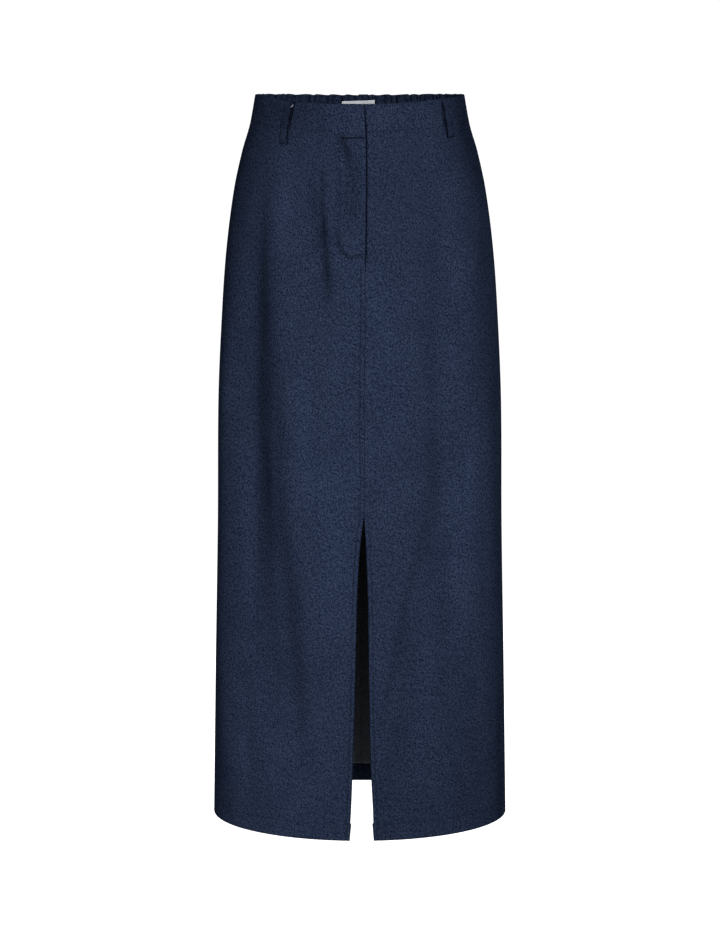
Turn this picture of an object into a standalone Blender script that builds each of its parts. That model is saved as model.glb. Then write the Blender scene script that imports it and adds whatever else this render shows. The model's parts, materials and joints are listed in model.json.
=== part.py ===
"""Long denim skirt with a fly front, a front slit and a gathered back waistband.

Metres, +Z up, and the wearer faces -Y, so the wearer's left is at +X. The origin is
the centre of the waist opening, level with the top of the side seams.

The skirt is one tube, written as a surface: skin(angle, drop) is the point of the
cloth's outer face at an angle round the body (0 at the front, +90 degrees at the
wearer's left side) and at a drop below the waist. Every piece is cut from it.
"""

import math
from collections import namedtuple

import bmesh
import bpy
from mathutils import Vector

MM = 0.001

# Driving sizes
LENGTH = 940.5 * MM
BAND_HEIGHT = 35.5 * MM
HEM = 23.5 * MM
CLOTH = 1.1 * MM
FACING = 1.1 * MM
FACING_WIDTH = 13 * MM
SEAM = 0.3 * MM
STEP = 0.4 * MM

# The tube: an oval at each drop, with its own depth in front and behind
Section = namedtuple("Section", "drop half_width front back")
SECTIONS = [
    Section(0 * MM, 131.0 * MM, 95 * MM, 91 * MM),
    Section(38 * MM, 138.3 * MM, 100 * MM, 99 * MM),
    Section(70 * MM, 148.0 * MM, 104 * MM, 107 * MM),
    Section(120 * MM, 159.2 * MM, 109 * MM, 117 * MM),
    Section(200 * MM, 170.0 * MM, 114 * MM, 125 * MM),
    Section(300 * MM, 177.4 * MM, 118 * MM, 127 * MM),
    Section(390 * MM, 181.7 * MM, 119 * MM, 125 * MM),
    Section(550 * MM, 184.3 * MM, 120 * MM, 122 * MM),
    Section(740 * MM, 189.4 * MM, 121 * MM, 120 * MM),
    Section(LENGTH, 194.2 * MM, 121 * MM, 119 * MM),
]
FRONT_DIP = 9.0 * MM
BACK_DIP = 3.0 * MM
DIP_REACH = 250 * MM

# Long soft folds. Angles in degrees; a negative depth is a ridge.
Fold = namedtuple("Fold", "top foot top_angle foot_angle half_width depth")
FOLDS = [
    Fold(70 * MM, 700 * MM, -54.0, -38.0, 23 * MM, 7.0 * MM),
    Fold(210 * MM, 930 * MM, -63.0, -26.5, 24 * MM, 7.0 * MM),
    Fold(140 * MM, 900 * MM, -69.5, -71.5, 20 * MM, -4.0 * MM),
    Fold(45 * MM, 300 * MM, -28.0, -14.0, 15 * MM, 5.5 * MM),
    Fold(50 * MM, 750 * MM, -44.0, -17.5, 17.5 * MM, -4.2 * MM),
    Fold(565 * MM, 935 * MM, -64.5, -64.5, 21 * MM, -3.5 * MM),
    Fold(80 * MM, 820 * MM, 35.0, 36.0, 24 * MM, 6.5 * MM),
    Fold(430 * MM, 930 * MM, 36.5, 9.5, 19 * MM, 6.5 * MM),
    Fold(320 * MM, 760 * MM, 46.0, 40.0, 22 * MM, 5.5 * MM),
    Fold(495 * MM, 700 * MM, 55.0, 53.0, 9 * MM, -1.2 * MM),
    Fold(700 * MM, 935 * MM, 22.0, 43.0, 22 * MM, -3.5 * MM),
    Fold(45 * MM, 320 * MM, 35.0, 46.0, 20 * MM, 4.5 * MM),
    Fold(130 * MM, 620 * MM, 152.0, 148.0, 18 * MM, 3.6 * MM),
    Fold(90 * MM, 420 * MM, 128.0, 131.0, 15 * MM, 2.8 * MM),
    Fold(480 * MM, 880 * MM, 166.0, 160.0, 20 * MM, 3.2 * MM),
    Fold(120 * MM, 560 * MM, -146.0, -150.0, 18 * MM, 3.4 * MM),
    Fold(360 * MM, 840 * MM, -128.0, -134.0, 20 * MM, 3.8 * MM),
    Fold(100 * MM, 330 * MM, -169.0, -171.0, 15 * MM, 2.4 * MM),
    Fold(420 * MM, 760 * MM, 119.0, 113.0, 16 * MM, -2.4 * MM),
]

# The centre front: where each front panel ends, and how far the left one is tucked in
CentreEdge = namedtuple("CentreEdge", "drop right left tuck")
CENTRE_EDGES = [
    CentreEdge(0 * MM, 4.4 * MM, 1.4 * MM, 1.9 * MM),
    CentreEdge(BAND_HEIGHT, 7.0 * MM, 4.0 * MM, 1.9 * MM),
    CentreEdge(45 * MM, 7.6 * MM, 4.6 * MM, 1.9 * MM),
    CentreEdge(120 * MM, 7.6 * MM, 4.6 * MM, 1.9 * MM),
    CentreEdge(190 * MM, 6.8 * MM, 3.8 * MM, 1.9 * MM),
    CentreEdge(194 * MM, 6.7 * MM, 7.1 * MM, 1.9 * MM),
    CentreEdge(206 * MM, 6.5 * MM, 6.9 * MM, 0 * MM),
    CentreEdge(300 * MM, 6.4 * MM, 6.7 * MM, 0 * MM),
    CentreEdge(370 * MM, 5.0 * MM, 5.3 * MM, 0 * MM),
    CentreEdge(488 * MM, 6.0 * MM, 6.3 * MM, 0 * MM),
    CentreEdge(516 * MM, 4.9 * MM, 5.2 * MM, 0 * MM),
    CentreEdge(545 * MM, 1.6 * MM, 7.3 * MM, 0 * MM),
    CentreEdge(571 * MM, -1.0 * MM, 8.4 * MM, 0 * MM),
    CentreEdge(622 * MM, -3.4 * MM, 10.3 * MM, 0 * MM),
    CentreEdge(687 * MM, -4.9 * MM, 11.2 * MM, 0 * MM),
    CentreEdge(753 * MM, -6.1 * MM, 11.8 * MM, 0 * MM),
    CentreEdge(836 * MM, -8.5 * MM, 13.4 * MM, 0 * MM),
    CentreEdge(899 * MM, -10.9 * MM, 16.8 * MM, 0 * MM),
    CentreEdge(LENGTH - HEM - STEP, -12.0 * MM, 17.3 * MM, 0 * MM),
    CentreEdge(LENGTH - HEM + STEP, -10.8 * MM, 16.1 * MM, 0 * MM),
    CentreEdge(LENGTH, -12.8 * MM, 17.9 * MM, 0 * MM),
]
FLY_END = 200 * MM
LAP_RISE = 0.9 * MM
LAP_WIDTH = 30 * MM
TUCK_WIDTH = 14 * MM
RAMP = 14 * MM

# Back gathers
GATHERS_A_SIDE = 26
GATHER_SHARPNESS = 0.8
GATHER_RISE = 1.1 * MM
LINING_RISE = 1.0 * MM
GATHER_FADE = 110 * MM
PANEL_GATHER_RISE = 1.3 * MM
GATHERS_A_FLUTE = 4.3
FLUTE_RISE = 1.9 * MM
FLUTE_TOP = 40 * MM
FLUTE_FOOT = 330 * MM
ELASTIC_BAND = 3.2 * MM
CENTRE_BACK = 6.5 * MM
COLUMNS_A_GATHER = 4

# Front waistband
FLAT_BAND = 2.2 * MM
UNDERLAP = 34 * MM
LAP_GAP = 1.6 * MM
UNDERLAP_RAMP = 18 * MM
BAND_COLUMNS = 26

# Rows of points down a panel
TOP_ROWS = [BAND_HEIGHT + SEAM] + [drop * MM for drop in (45, 58, 72, 90)]
LOW_ROWS = [drop * MM for drop in (115, 145, 180, 220, 265, 310, 360, 410, 460)]
SLIT_ROWS = [drop * MM for drop in (516, 571, 622, 687, 753, 836, 899)]
FLY_ROWS = [drop * MM for drop in (190, 194, 206)]
HEM_ROWS = [LENGTH - HEM - STEP, LENGTH - HEM + STEP, LENGTH]
FRONT_COLUMNS = 19

# Belt loops: `swing` is how far a loop's top is pulled sideways
Loop = namedtuple("Loop", "name angle top foot swing stand_off")
LOOPS = [
    Loop("belt_loop_front_right", -41.4, 1.5 * MM, 53.3 * MM, 3.5 * MM, 0 * MM),
    Loop("belt_loop_front_left", 52.1, 1.0 * MM, 47.3 * MM, 0 * MM, 0 * MM),
    Loop("belt_loop_back_left", 131.0, 0 * MM, 50 * MM, 0 * MM, PANEL_GATHER_RISE),
    Loop("belt_loop_back_centre", 178.0, -0.4 * MM, 51 * MM, 0 * MM, PANEL_GATHER_RISE),
    Loop("belt_loop_back_right", -131.0, 0 * MM, 50 * MM, 0 * MM, PANEL_GATHER_RISE),
]
LOOP_WIDTH = 12 * MM
LOOP_CLOTH = 2.0 * MM
LOOP_BOW = 2.2 * MM
LOOP_ROWS = 9

LABEL_WIDTH = 43.8 * MM
LABEL_HEIGHT = 22 * MM
LABEL_CLOTH = 1.0 * MM
LABEL_DROP = 7.7 * MM
LABEL_CENTRE = -1.9 * MM
LABEL_LEAN = 2.2

# Closure, hidden by the lap: distances from the middle plane, drops and depths
Strip = namedtuple("Strip", "name x top foot width near far")
ZIP_TAPE = Strip("zip_tape", -0.6 * MM, 40 * MM, 184 * MM, 24 * MM, 4.4 * MM, 5.4 * MM)
ZIP_SLIDER = Strip("zip_slider", -0.6 * MM, 46 * MM, 66 * MM, 6.4 * MM, 1.7 * MM, 4.1 * MM)
PULL_TAB_CLOTH = 0.9 * MM
HOOK = Strip("waist_hook", -3 * MM, 14 * MM, 23 * MM, 11 * MM, 1.55 * MM, 1.95 * MM)
BAR = Strip("waist_bar", -3 * MM, 16 * MM, 21 * MM, 9 * MM, 2.25 * MM, 2.65 * MM)

Finish = namedtuple("Finish", "colour roughness metallic")
DENIM = Finish((0.017, 0.026, 0.052), 0.85, 0.0)
LABEL_WHITE = Finish((0.78, 0.79, 0.80), 0.6, 0.0)
ZIP_NAVY = Finish((0.010, 0.014, 0.030), 0.7, 0.0)
STEEL = Finish((0.60, 0.60, 0.62), 0.35, 1.0)


# ---- Tables and curves

def along(table, at):
    """The row of a table at any place between its first and last rows, on a smooth curve."""
    at = min(max(at, table[0][0]), table[-1][0])
    k = max(i for i in range(len(table) - 1) if table[i][0] <= at)
    here, there = table[k], table[k + 1]
    before, after = table[max(k - 1, 0)], table[min(k + 2, len(table) - 1)]
    span = there[0] - here[0]
    t = (at - here[0]) / span
    values = [at]
    for p0, p1, p2, p3 in list(zip(before, here, there, after))[1:]:
        slope_in = (p2 - p0) / (there[0] - before[0]) * span
        slope_out = (p3 - p1) / (after[0] - here[0]) * span
        values.append((2 * t**3 - 3 * t**2 + 1) * p1 + (t**3 - 2 * t**2 + t) * slope_in
                      + (3 * t**2 - 2 * t**3) * p2 + (t**3 - t**2) * slope_out)
    return type(here)(*values)


def straight(table, at):
    """The row of a table at any place between its rows, on straight lines."""
    k = max(i for i in range(len(table) - 1) if table[i][0] <= at or i == 0)
    here, there = table[k], table[k + 1]
    t = (at - here[0]) / (there[0] - here[0])
    return type(here)(*(a + (b - a) * t for a, b in zip(here, there)))


def ease(t):
    """0 to 1, with a soft start and end."""
    t = min(max(t, 0.0), 1.0)
    return t * t * (3 - 2 * t)


# ---- The skirt's surface

def arc_rate(angle, drop):
    """Metres of cloth for each radian round the body."""
    size = along(SECTIONS, drop)
    reach = size.front if math.cos(angle) > 0 else size.back
    return math.hypot(size.half_width * math.cos(angle), reach * math.sin(angle))


def fold_depth(angle, drop):
    """How far the folds push the cloth in at this place."""
    depth = 0.0
    for fold in FOLDS:
        down = (drop - fold.top) / (fold.foot - fold.top)
        if not 0 < down < 1:
            continue
        middle = math.radians(fold.top_angle + (fold.foot_angle - fold.top_angle) * down)
        across = (angle - middle + math.pi) % (2 * math.pi) - math.pi
        across *= arc_rate(angle, drop) / fold.half_width
        depth += fold.depth * math.exp(-across**2) * ease(3 * down) * ease(3 * (1 - down))
    return depth


def skin(angle, drop, depth=0.0):
    """Point at an angle round the body and a drop below the waist, `depth` inside the outer face."""
    size = along(SECTIONS, drop)
    ahead = math.cos(angle)
    reach = size.front if ahead > 0 else size.back
    dip = (FRONT_DIP if ahead > 0 else BACK_DIP) * ahead**2 * ease(1 - drop / DIP_REACH)
    out = Vector((math.sin(angle) / size.half_width, -ahead / reach, 0)).normalized()
    point = Vector((size.half_width * math.sin(angle), -reach * ahead, -drop - dip))
    return point - out * (depth + fold_depth(angle, drop))


def angle_of(x, drop):
    """Angle of the front face at a distance from the middle plane."""
    return math.asin(x / along(SECTIONS, drop).half_width)


# ---- Solids

def finish(name, look):
    material = bpy.data.materials.new(name)
    material.use_nodes = True
    shader = material.node_tree.nodes["Principled BSDF"]
    shader.inputs["Base Color"].default_value = (*look.colour, 1)
    shader.inputs["Roughness"].default_value = look.roughness
    shader.inputs["Metallic"].default_value = look.metallic
    material.diffuse_color = (*look.colour, 1)
    return material


def join_rows(mesh, upper, lower):
    """Faces between two rows of points that start and end together, whatever their counts."""
    i = j = 0
    while i < len(upper) - 1 or j < len(lower) - 1:
        next_upper = (i + 1) / (len(upper) - 1)
        next_lower = (j + 1) / (len(lower) - 1)
        if abs(next_upper - next_lower) < 1e-9:
            mesh.faces.new((upper[i], upper[i + 1], lower[j + 1], lower[j]))
            i, j = i + 1, j + 1
        elif next_upper < next_lower:
            mesh.faces.new((upper[i], upper[i + 1], lower[j]))
            i += 1
        else:
            mesh.faces.new((upper[i], lower[j + 1], lower[j]))
            j += 1


def wall(name, outer, inner, look):
    """A closed wall between an outer and an inner grid of points, with rows of equal counts."""
    mesh = bmesh.new()
    layers = [[[mesh.verts.new(point) for point in row] for row in grid] for grid in (outer, inner)]
    outside, inside = layers
    for layer in layers:
        for upper, lower in zip(layer, layer[1:]):
            join_rows(mesh, upper, lower)
    for row in (0, -1):
        join_rows(mesh, outside[row], inside[row])
    for column in (0, -1):
        join_rows(mesh, [row[column] for row in outside], [row[column] for row in inside])
    bmesh.ops.recalc_face_normals(mesh, faces=mesh.faces)
    bmesh.ops.triangulate(mesh, faces=mesh.faces)
    data = bpy.data.meshes.new(name)
    mesh.to_mesh(data)
    mesh.free()
    data.shade_smooth()
    data.set_sharp_from_angle(angle=math.radians(50))
    data.materials.append(finish(name, look))
    solid = bpy.data.objects.new(name, data)
    bpy.context.scene.collection.objects.link(solid)
    return solid


# ---- Front panels

def lining(from_edge, drop):
    """Extra thickness inside a panel: the facing along its centre edge, and the turned-up hem."""
    folded = from_edge < FACING_WIDTH + STEP / 2 or drop > LENGTH - HEM
    return FACING if folded else 0.0


def lap_rise(from_edge):
    """How far the overlapping side stands out at a distance from its edge."""
    return LAP_RISE * ease((LAP_WIDTH - from_edge) / RAMP)


def front_panel(side):
    """side is +1 for the wearer's left and -1 for the right, which laps over at the fly."""
    outer, inner = [], []
    for drop in sorted(TOP_ROWS + LOW_ROWS + FLY_ROWS + SLIT_ROWS + HEM_ROWS):
        centre = straight(CENTRE_EDGES, drop)
        edge = angle_of(centre.left if side > 0 else centre.right, drop)
        seam = side * (math.pi / 2 - SEAM / 2 / arc_rate(math.pi / 2, drop))
        near = [0.0, FACING_WIDTH, FACING_WIDTH + STEP]
        angles = [edge + side * reach / arc_rate(edge, drop) for reach in near]
        angles += [angles[-1] + (seam - angles[-1]) * k / FRONT_COLUMNS for k in range(1, FRONT_COLUMNS + 1)]
        outer_row, inner_row = [], []
        for angle in angles:
            from_edge = abs(angle - edge) * arc_rate(edge, drop)
            depth = centre.tuck * ease(1 - from_edge / TUCK_WIDTH)
            if side < 0:
                depth = -lap_rise(from_edge) * ease((FLY_END - drop) / RAMP)
            outer_row.append(skin(angle, drop, depth))
            inner_row.append(skin(angle, drop, depth + CLOTH + lining(from_edge, drop)))
        outer.append(outer_row)
        inner.append(inner_row)
    return outer, inner


# ---- Back panels and the gathered waistband

def gather_angle(side, count, drop):
    """Body angle of a place counted in gathers from the side seam, unevenly spaced."""
    size = along(SECTIONS, drop)
    centre = math.pi - side * math.asin(CENTRE_BACK / size.half_width)
    first = math.pi / 2 + SEAM / 2 / size.back
    last = centre - SEAM / 2 / size.half_width
    ends = ease(count / 2) * ease((GATHERS_A_SIDE - count) / 2)
    uneven = 0.42 * math.sin(0.83 * count + side) + 0.30 * math.sin(2.1 * count + 2 * side)
    return side * (first + (last - first) * (count + uneven * ends) / GATHERS_A_SIDE)


def gather(side, count):
    """Height of the gathers, -1 to 1: a round crest at every whole count, a crease halfway."""
    ends = ease(count / 3) * ease(GATHERS_A_SIDE - count)
    strength = 0.85 + 0.15 * math.sin(1.7 * count + 3 * side)
    return (2 * abs(math.cos(math.pi * count)) ** GATHER_SHARPNESS - 1) * strength * ends


def flute(side, count, drop):
    """Height of the longer, wider folds that the gathers run out into."""
    down = (drop - FLUTE_TOP) / (FLUTE_FOOT - FLUTE_TOP)
    turn = 2 * math.pi * count / GATHERS_A_FLUTE + 1.1 * math.sin(0.37 * count + side)
    ends = ease(count / 3) * ease((GATHERS_A_SIDE - count) / 2)
    return FLUTE_RISE * math.cos(turn) * ends * ease(5 * down) * ease(1.2 * (1 - down))


def back_panel(side):
    outer, inner = [], []
    for drop in sorted(TOP_ROWS + LOW_ROWS + SLIT_ROWS + HEM_ROWS):
        step = 0.5 if drop in TOP_ROWS else 1
        rise = PANEL_GATHER_RISE * ease(1 - (drop - BAND_HEIGHT) / GATHER_FADE)
        outer_row, inner_row = [], []
        for k in range(int(GATHERS_A_SIDE / step) + 1):
            angle = gather_angle(side, k * step, drop)
            depth = -rise * gather(side, k * step) - flute(side, k * step, drop)
            outer_row.append(skin(angle, drop, depth))
            inner_row.append(skin(angle, drop, depth + CLOTH + (FACING if drop > LENGTH - HEM else 0)))
        outer.append(outer_row)
        inner.append(inner_row)
    return outer, inner


def back_band():
    """One elasticated casing from side seam to side seam: both faces pucker away from its middle."""
    places = [(1, k / COLUMNS_A_GATHER) for k in range(GATHERS_A_SIDE * COLUMNS_A_GATHER)]
    places += [(-1, count) for _, count in reversed(places)]
    outer, inner = [], []
    for share in (0, 0.5, 1):
        drop = BAND_HEIGHT * share
        full = 1 if share == 0.5 else 0.75
        outer_row, inner_row = [], []
        for side, count in places:
            angle = gather_angle(side, count, drop)
            height = gather(side, count) * full
            outer_row.append(skin(angle, drop, -GATHER_RISE * height))
            inner_row.append(skin(angle, drop, ELASTIC_BAND + LINING_RISE * height))
        outer.append(outer_row)
        inner.append(inner_row)
    return outer, inner


# ---- Front waistband

def underlap(past_lap):
    """Depth of the underlap, which comes out to the surface a little past the lap's end."""
    return (FLAT_BAND + LAP_GAP - LAP_RISE) * ease(1 - (past_lap - SEAM) / UNDERLAP_RAMP)


def front_band(side):
    seam = side * (math.pi / 2 - SEAM / 2 / arc_rate(math.pi / 2, 0))
    outer, inner = [], []
    for share in (0, 0.5, 1):
        drop = BAND_HEIGHT * share
        lap_end = angle_of(straight(CENTRE_EDGES, drop).right, drop)
        rate = arc_rate(lap_end, drop)
        start = lap_end if side < 0 else lap_end - UNDERLAP / rate
        outer_row, inner_row = [], []
        for k in range(BAND_COLUMNS + 1):
            angle = start + (seam - start) * k / BAND_COLUMNS
            past_lap = (angle - lap_end) * rate
            depth = underlap(past_lap) if side > 0 else -lap_rise(-past_lap)
            outer_row.append(skin(angle, drop, depth))
            inner_row.append(skin(angle, drop, depth + FLAT_BAND))
        outer.append(outer_row)
        inner.append(inner_row)
    return outer, inner


# ---- Small pieces

def patch(angle, drops, width, columns, near, far, lean=0.0, swing=0.0):
    """Grids of a small piece on the surface: `near` and `far` give its two faces' depths at a share."""
    outer, inner = [], []
    for k, drop in enumerate(drops):
        share = k / (len(drops) - 1)
        rate = arc_rate(angle, drop)
        middle = angle + swing * (1 - share) ** 3 / rate
        outer_row, inner_row = [], []
        for c in range(columns + 1):
            across = (2 * c / columns - 1) * width / 2
            place = drop + math.tan(math.radians(lean)) * across
            outer_row.append(skin(middle + across / rate, place, near(share)))
            inner_row.append(skin(middle + across / rate, place, far(share)))
        outer.append(outer_row)
        inner.append(inner_row)
    return outer, inner


def belt_loop(loop):
    """A strip that touches the band at its two ends and stands off it between them."""
    def stand_off(share):
        return SEAM + loop.stand_off + LOOP_BOW * ease(5 * share) * ease(5 * (1 - share))
    drops = [loop.top + (loop.foot - loop.top) * k / LOOP_ROWS for k in range(LOOP_ROWS + 1)]
    return patch(math.radians(loop.angle), drops, LOOP_WIDTH, 2, lambda share: -stand_off(share) - LOOP_CLOTH,
                 lambda share: -stand_off(share), swing=loop.swing)


def label():
    face = ELASTIC_BAND + LINING_RISE + SEAM
    drops = [LABEL_DROP + LABEL_HEIGHT * k / 2 for k in range(3)]
    middle = math.pi - LABEL_CENTRE / SECTIONS[0].half_width
    return patch(middle, drops, LABEL_WIDTH, 6, lambda _: face, lambda _: face + LABEL_CLOTH, LABEL_LEAN)


def strip(piece, shares, far_at):
    """A flat piece of the closure, lying between two depths under the lap."""
    drops = [piece.top + (piece.foot - piece.top) * share for share in shares]
    return patch(angle_of(piece.x, piece.top), drops, piece.width, 2, lambda _: piece.near, far_at)


def slider_far(share):
    """The slider's body above, and its thin pull tab hanging flat below."""
    return ZIP_SLIDER.far if share < 0.5 else ZIP_SLIDER.near + PULL_TAB_CLOTH


def build():
    for old in list(bpy.data.objects):
        bpy.data.objects.remove(old)
    for side, word in ((-1, "right"), (1, "left")):
        wall(f"front_{word}_panel", *front_panel(side), DENIM)
        wall(f"back_{word}_panel", *back_panel(side), DENIM)
        wall(f"waistband_front_{word}", *front_band(side), DENIM)
    wall("waistband_back", *back_band(), DENIM)
    for loop in LOOPS:
        wall(loop.name, *belt_loop(loop), DENIM)
    wall("waist_label", *label(), LABEL_WHITE)
    tape_shares = [k / 8 for k in range(9)]
    wall(ZIP_TAPE.name, *strip(ZIP_TAPE, tape_shares, lambda _: ZIP_TAPE.far), ZIP_NAVY)
    wall(ZIP_SLIDER.name, *strip(ZIP_SLIDER, [0, 0.25, 0.5, 1], slider_far), STEEL)
    for plate in (HOOK, BAR):
        wall(plate.name, *strip(plate, [0, 1], lambda _: plate.far), STEEL)


build()
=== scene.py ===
"""Looks of a long denim skirt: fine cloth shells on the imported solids, seams, stitches and light.

Lengths are in millimetres, and become metres where a mesh is made, in the CAD's own
frame: +Z up, the wearer faces -Y, and the origin is the centre of the waist opening. As
in the solids' source, the cloth is one surface: skin(angle, drop) is its outer face at
an angle round the body (0 in front, +90 degrees at the wearer's left) and a drop below
the waist.
"""

import functools
import json
import math
from collections import namedtuple

import bpy
import numpy as np
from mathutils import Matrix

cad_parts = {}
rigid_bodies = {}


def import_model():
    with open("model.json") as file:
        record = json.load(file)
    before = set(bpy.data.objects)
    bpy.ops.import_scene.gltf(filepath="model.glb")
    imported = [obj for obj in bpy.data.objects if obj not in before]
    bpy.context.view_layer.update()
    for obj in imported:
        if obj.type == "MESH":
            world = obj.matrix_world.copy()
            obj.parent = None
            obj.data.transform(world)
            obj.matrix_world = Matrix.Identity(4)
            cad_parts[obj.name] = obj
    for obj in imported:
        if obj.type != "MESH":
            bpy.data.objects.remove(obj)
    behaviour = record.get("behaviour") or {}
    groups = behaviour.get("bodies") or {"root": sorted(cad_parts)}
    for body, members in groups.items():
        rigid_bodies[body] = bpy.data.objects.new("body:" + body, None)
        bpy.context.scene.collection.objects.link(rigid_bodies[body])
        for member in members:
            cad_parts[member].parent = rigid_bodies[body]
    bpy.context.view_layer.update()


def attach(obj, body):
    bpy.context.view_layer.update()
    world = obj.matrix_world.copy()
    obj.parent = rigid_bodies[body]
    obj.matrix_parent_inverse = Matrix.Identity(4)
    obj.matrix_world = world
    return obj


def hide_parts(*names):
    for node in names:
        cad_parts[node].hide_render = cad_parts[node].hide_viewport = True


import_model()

MM = 0.001
BODY = "root"
SIDES = {-1: "right", 1: "left"}


def rows_of(columns, *rows):
    kind = namedtuple("Row", columns)
    return [kind(*row) for row in rows]


# ------------ sizes of the solids

LENGTH = 940.5
BAND_HEIGHT = 35.5
PANEL_TOP = 35.8
HEM = 23.5
CLOTH = 1.1
FACING = 1.1
FACING_WIDTH = 13
FLAT_BAND = 2.2
ELASTIC_BAND = 3.2

SECTIONS = rows_of(
    "drop half_width front back",
    (0, 131, 95, 91), (38, 138.3, 100, 99), (70, 148, 104, 107), (120, 159.2, 109, 117),
    (200, 170, 114, 125), (300, 177.4, 118, 127), (390, 181.7, 119, 125), (550, 184.3, 120, 122),
    (740, 189.4, 121, 120), (LENGTH, 194.2, 121, 119))
FRONT_DIP = 9.0
BACK_DIP = 3.0
DIP_REACH = 250

# Long soft folds: angles in degrees, and a negative depth is a ridge
FOLD_COLUMNS = "top foot top_angle foot_angle half_width depth"
FOLDS = rows_of(
    FOLD_COLUMNS,
    (70, 700, -54, -38, 23, 7), (210, 930, -63, -26.5, 24, 7), (140, 900, -69.5, -71.5, 20, -4),
    (45, 300, -28, -14, 15, 5.5), (50, 750, -44, -17.5, 17.5, -4.2), (565, 935, -64.5, -64.5, 21, -3.5),
    (80, 820, 35, 36, 24, 6.5), (430, 930, 36.5, 9.5, 19, 6.5), (320, 760, 46, 40, 22, 5.5),
    (495, 700, 55, 53, 9, -1.2), (700, 935, 22, 43, 22, -3.5), (45, 320, 35, 46, 20, 4.5),
    (130, 620, 152, 148, 18, 3.6), (90, 420, 128, 131, 15, 2.8), (480, 880, 166, 160, 20, 3.2),
    (120, 560, -146, -150, 18, 3.4), (360, 840, -128, -134, 20, 3.8), (100, 330, -169, -171, 15, 2.4),
    (420, 760, 119, 113, 16, -2.4))

# Smaller folds and creases, in the visible cloth alone
FINE_FOLDS = rows_of(
    FOLD_COLUMNS,
    (118, 264, -18.6, -13.5, 7.2, 5.8), (27, 73, -11.9, -4.6, 5, 3), (62, 180, -18.3, -15.8, 2.6, 1.1),
    (60, 175, -37, -26, 9, 1.8), (60, 215, -9.6, -10.4, 4.5, 0.6), (150, 480, -31.5, -27, 12, -2.4),
    (120, 640, -52.7, -39.5, 18, 2.8), (470, 905, -36, -21.3, 13, 4.4), (300, 640, -24, -12, 15, -1.4),
    (70, 260, -50, -46, 8, 1), (700, 930, -52, -47, 9, 1.2), (500, 865, 28.5, 4.9, 9, 3.4),
    (110, 620, 34, 34.5, 17, 2.2), (400, 740, 51, 47, 10, -2.6), (60, 210, 13, 16, 9, 0.8),
    (640, 935, 50, 57, 12, 1.8), (140, 420, 66, 60, 10, 1.2), (90, 380, 104, 99, 11, 1.6),
    (330, 760, 97, 104, 13, -1.8), (250, 640, 137, 131, 10, 1.7), (560, 925, 143, 149, 12, -1.7),
    (170, 520, 168, 163, 9, 1.5), (620, 930, 178, 172, 11, 1.8), (210, 600, -160, -164, 10, -1.6),
    (520, 900, -152, -146, 12, 2), (150, 470, -134, -128, 10, 1.6), (400, 820, -117, -122, 12, -1.8),
    (80, 340, -101, -97, 11, 1.5), (600, 935, -100, -106, 12, 1.7))

# Painted shade in the folds' hollows and towards the sides: here a depth is a share of darkness,
# and a negative one a painted highlight on a ridge
PAINTED_FOLD_SHADE = rows_of(
    FOLD_COLUMNS,
    (130, 264, -17.3, -12.7, 7, 0.3), (58, 185, -17.8, -15.2, 2.6, 0.4), (96, 205, -20.3, -18.6, 8, 0.17),
    (27, 73, -10.9, -3.6, 4.8, 0.46), (45, 170, -3.1, -2.6, 12, 0.21), (130, 720, -47.5, -43, 13, 0.27),
    (240, 430, -66, -66, 10, -0.08), (300, 450, -42.5, -42, 5, -0.16), (300, 450, -31.5, -31, 6, 0.08),
    (430, 640, -46.2, -46, 6, 0.12), (370, 550, -36.5, -37, 7, -0.3), (360, 1150, -53, -52, 18, -0.14),
    (370, 780, -11, -10, 32, -0.12), (290, 520, -23.2, -21, 10, -0.14), (560, 820, -24.5, -24, 10, 0.15),
    (560, 900, 21, 15, 20, 0.09), (760, 1180, 10, 10, 24, 0.13), (680, 1180, -34, -34, 85, -0.17),
    (430, 660, 41, 42, 10, -0.1), (-30, 42, -38, -38, 42, 0.24), (20, 215, -40.5, -34.5, 13, -0.16),
    (0, 240, 14, 17, 34, 0.09), (-80, 150, 64, 72, 26, 0.36), (60, 480, 66, 69, 13, 0.22),
    (330, 720, 60.5, 60.5, 10, -0.12), (400, 700, 71, 72, 9, 0.12), (640, 1150, 71, 72, 9, 0.24),
    (300, 860, 52, 53, 14, -0.14), (20, 330, -80, -78, 14, 0.1))

# How far the front's centre edges are to the left of the middle, and how deep the left one is
# tucked under the lap
CENTRE_EDGES = rows_of(
    "drop right left tuck",
    (0, 4.4, 1.4, 1.9), (BAND_HEIGHT, 7.0, 4.0, 1.9), (45, 7.6, 4.6, 1.9), (120, 7.6, 4.6, 1.9),
    (190, 6.8, 3.8, 1.9), (194, 6.7, 7.1, 1.9), (206, 6.5, 6.9, 0), (300, 6.4, 6.7, 0),
    (370, 5.0, 5.3, 0), (488, 6.0, 6.3, 0), (516, 4.9, 5.2, 0), (545, 1.6, 7.3, 0),
    (571, -1.0, 8.4, 0), (622, -3.4, 10.3, 0), (687, -4.9, 11.2, 0), (753, -6.1, 11.8, 0),
    (836, -8.5, 13.4, 0), (899, -10.9, 16.8, 0), (916.6, -12.0, 17.3, 0), (917.4, -10.8, 16.1, 0),
    (LENGTH, -12.8, 17.9, 0))
SLIT_TOP = 516
FLY_END = 200
LAP_RISE = 0.9
LAP_WIDTH = 30
TUCK_WIDTH = 14
RAMP = 14
LAP_GAP = 1.6
UNDERLAP = 34
UNDERLAP_RAMP = 18

GATHERS_A_SIDE = 26
GATHER_SHARPNESS = 0.8
GATHER_RISE = 1.1
LINING_RISE = 1.0
GATHER_FADE = 110
PANEL_GATHER_RISE = 1.3
GATHERS_A_FLUTE = 4.3
FLUTE_RISE = 1.9
FLUTE_TOP = 40
FLUTE_FOOT = 330
CENTRE_BACK = 6.5

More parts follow.
